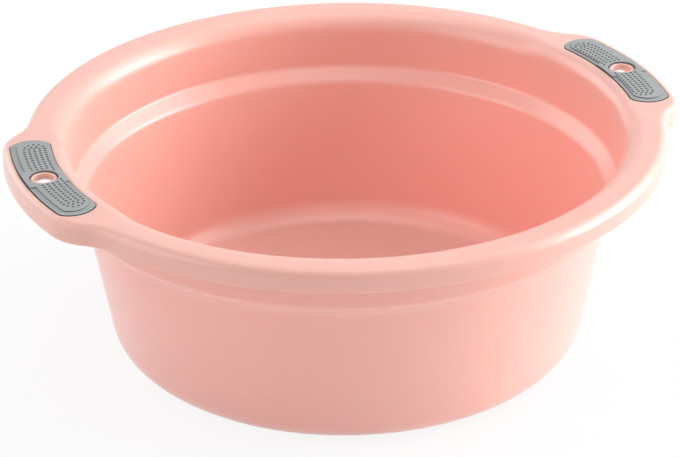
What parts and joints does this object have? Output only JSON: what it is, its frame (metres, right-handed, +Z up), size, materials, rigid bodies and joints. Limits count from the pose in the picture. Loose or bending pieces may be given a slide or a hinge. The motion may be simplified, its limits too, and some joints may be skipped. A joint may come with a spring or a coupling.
{
  "type": "washing up bowl",
  "caption": "Round plastic washing up bowl with a stepped wall and two carrying lugs, each with a soft dotted grip pad round a hanging hole.",
  "frame": {"origin": "centre of the foot ring's underside, which stands on the worktop", "axes": "+Z up through the mouth, +X through the middle of the right lug, +Y square to both"},
  "size_m": [0.384, 0.3598, 0.1329],
  "materials": {
    "bowl_plastic": "satin",
    "grip_rubber": "matt"
  },
  "bodies": {
    "root": {"basin": "bowl_plastic", "grip_pad_right": "grip_rubber", "grip_pad_left": "grip_rubber"}
  },
  "joints": []
}
